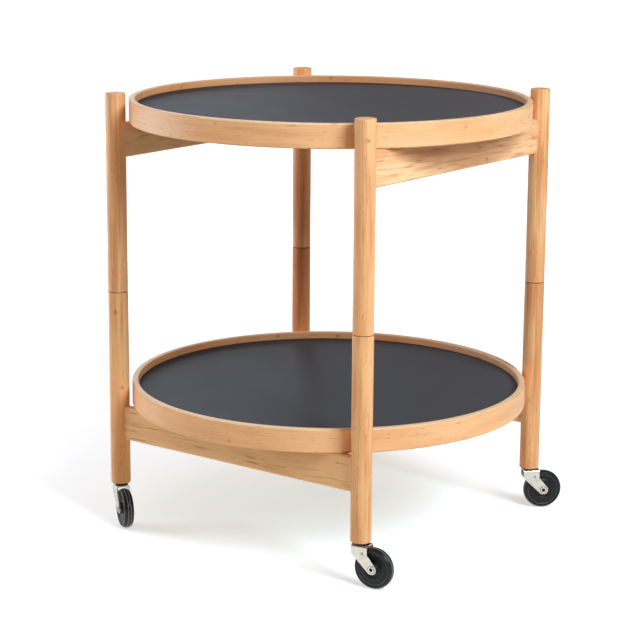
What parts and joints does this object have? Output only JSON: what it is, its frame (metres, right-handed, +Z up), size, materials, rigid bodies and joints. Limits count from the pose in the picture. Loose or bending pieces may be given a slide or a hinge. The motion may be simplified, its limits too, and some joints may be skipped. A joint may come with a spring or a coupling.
{
  "type": "folding tray trolley",
  "caption": "Serving trolley of light wood: round reversible trays rest on the beams of a folding frame of round pivoting legs, on swivel casters.",
  "frame": {"origin": "on the floor under the common centre of the two trays", "axes": "+Z up; +X along the two lower beams; +Y along the two upper beams, with the front beam of the lower pair at -Y"},
  "size_m": [0.6, 0.6, 0.661],
  "materials": {
    "leg_wood": "oiled",
    "beam_wood": "oiled",
    "rim_wood": "oiled",
    "board_core": "raw",
    "board_laminate": "matte",
    "pivot_steel": "satin",
    "sleeve_steel": "satin",
    "race_steel": "matte",
    "fork_nickel": "satin nickel plate",
    "axle_nickel": "satin nickel plate",
    "bush_nylon": "matte",
    "washer_nylon": "matte",
    "wheel_rubber": "satin"
  },
  "bodies": {
    "lower_front_frame": {"lower_front_beam": "beam_wood", "front_left_leg_lower": "leg_wood", "front_left_pivot_pin": "pivot_steel", "front_left_pivot_washer": "washer_nylon", "front_left_caster_sleeve": "sleeve_steel", "front_left_caster_race": "race_steel", "front_right_leg_lower": "leg_wood", "front_right_pivot_pin": "pivot_steel", "front_right_pivot_washer": "washer_nylon", "front_right_caster_sleeve": "sleeve_steel", "front_right_caster_race": "race_steel"},
    "lower_rear_frame": {"lower_rear_beam": "beam_wood", "rear_left_leg_lower": "leg_wood", "rear_left_pivot_pin": "pivot_steel", "rear_left_pivot_washer": "washer_nylon", "rear_left_caster_sleeve": "sleeve_steel", "rear_left_caster_race": "race_steel", "rear_right_leg_lower": "leg_wood", "rear_right_pivot_pin": "pivot_steel", "rear_right_pivot_washer": "washer_nylon", "rear_right_caster_sleeve": "sleeve_steel", "rear_right_caster_race": "race_steel"},
    "upper_left_frame": {"upper_left_beam": "beam_wood", "front_left_leg_upper": "leg_wood", "front_left_pivot_bush": "bush_nylon", "rear_left_leg_upper": "leg_wood", "rear_left_pivot_bush": "bush_nylon"},
    "upper_right_frame": {"upper_right_beam": "beam_wood", "front_right_leg_upper": "leg_wood", "front_right_pivot_bush": "bush_nylon", "rear_right_leg_upper": "leg_wood", "rear_right_pivot_bush": "bush_nylon"},
    "lower_tray": {"lower_tray_rim": "rim_wood", "lower_tray_core": "board_core", "lower_tray_top_laminate": "board_laminate", "lower_tray_bottom_laminate": "board_laminate"},
    "upper_tray": {"upper_tray_rim": "rim_wood", "upper_tray_core": "board_core", "upper_tray_top_laminate": "board_laminate", "upper_tray_bottom_laminate": "board_laminate"},
    "front_left_fork": {"front_left_caster_stem": "pivot_steel", "front_left_caster_fork": "fork_nickel", "front_left_caster_axle": "axle_nickel"},
    "front_left_wheel": {"front_left_caster_wheel": "wheel_rubber"},
    "front_right_fork": {"front_right_caster_stem": "pivot_steel", "front_right_caster_fork": "fork_nickel", "front_right_caster_axle": "axle_nickel"},
    "front_right_wheel": {"front_right_caster_wheel": "wheel_rubber"},
    "rear_right_fork": {"rear_right_caster_stem": "pivot_steel", "rear_right_caster_fork": "fork_nickel", "rear_right_caster_axle": "axle_nickel"},
    "rear_right_wheel": {"rear_right_caster_wheel": "wheel_rubber"},
    "rear_left_fork": {"rear_left_caster_stem": "pivot_steel", "rear_left_caster_fork": "fork_nickel", "rear_left_caster_axle": "axle_nickel"},
    "rear_left_wheel": {"rear_left_caster_wheel": "wheel_rubber"}
  },
  "joints": [
    {"name": "frame_fold", "type": "hinge", "parent": "lower_front_frame", "child": "upper_left_frame", "pos_m": [-0.226, -0.226, 0.3635], "axis": [0, 0, 1], "range_deg": [-0.7, 0.7]},
    {"name": "upper_right_fold", "type": "hinge", "parent": "lower_front_frame", "child": "upper_right_frame", "pos_m": [0.226, -0.226, 0.3635], "axis": [0, 0, 1], "range_deg": [-0.7, 0.7]},
    {"name": "lower_rear_fold", "type": "hinge", "parent": "upper_left_frame", "child": "lower_rear_frame", "pos_m": [-0.226, 0.226, 0.3635], "axis": [0, 0, 1], "range_deg": [-0.7, 0.7]},
    {"name": "upper_tray_lift", "type": "slide", "parent": "lower_front_frame", "child": "upper_tray", "axis": [0, 0, 1], "range_m": [0, 0.12]},
    {"name": "lower_tray_lift", "type": "slide", "parent": "lower_front_frame", "child": "lower_tray", "axis": [0, 0, 1], "range_m": [0, 0.33]},
    {"name": "front_left_swivel", "type": "hinge", "parent": "lower_front_frame", "child": "front_left_fork", "pos_m": [-0.226, -0.226, 0.05], "axis": [0, 0, 1], "continuous": true},
    {"name": "front_left_wheel_spin", "type": "hinge", "parent": "front_left_fork", "child": "front_left_wheel", "pos_m": [-0.20755, -0.23798, 0.03], "axis": [0.5446, 0.8387, 0], "continuous": true},
    {"name": "front_right_swivel", "type": "hinge", "parent": "lower_front_frame", "child": "front_right_fork", "pos_m": [0.226, -0.226, 0.05], "axis": [0, 0, 1], "continuous": true},
    {"name": "front_right_wheel_spin", "type": "hinge", "parent": "front_right_fork", "child": "front_right_wheel", "pos_m": [0.24779, -0.22294, 0.03], "axis": [-0.1392, 0.9903, 0], "continuous": true},
    {"name": "rear_right_swivel", "type": "hinge", "parent": "lower_rear_frame", "child": "rear_right_fork", "pos_m": [0.226, 0.226, 0.05], "axis": [0, 0, 1], "continuous": true},
    {"name": "rear_right_wheel_spin", "type": "hinge", "parent": "rear_right_fork", "child": "rear_right_wheel", "pos_m": [0.24156, 0.24156, 0.03], "axis": [-0.7071, 0.7071, 0], "continuous": true},
    {"name": "rear_left_swivel", "type": "hinge", "parent": "lower_rear_frame", "child": "rear_left_fork", "pos_m": [-0.226, 0.226, 0.05], "axis": [0, 0, 1], "continuous": true},
    {"name": "rear_left_wheel_spin", "type": "hinge", "parent": "rear_left_fork", "child": "rear_left_wheel", "pos_m": [-0.23352, 0.24667, 0.03], "axis": [-0.9397, -0.342, 0], "continuous": true}
  ],
  "couplings": [
    {"joint": "upper_right_fold", "follows": "frame_fold", "ratio": 1},
    {"joint": "lower_rear_fold", "follows": "frame_fold", "ratio": -1}
  ]
}
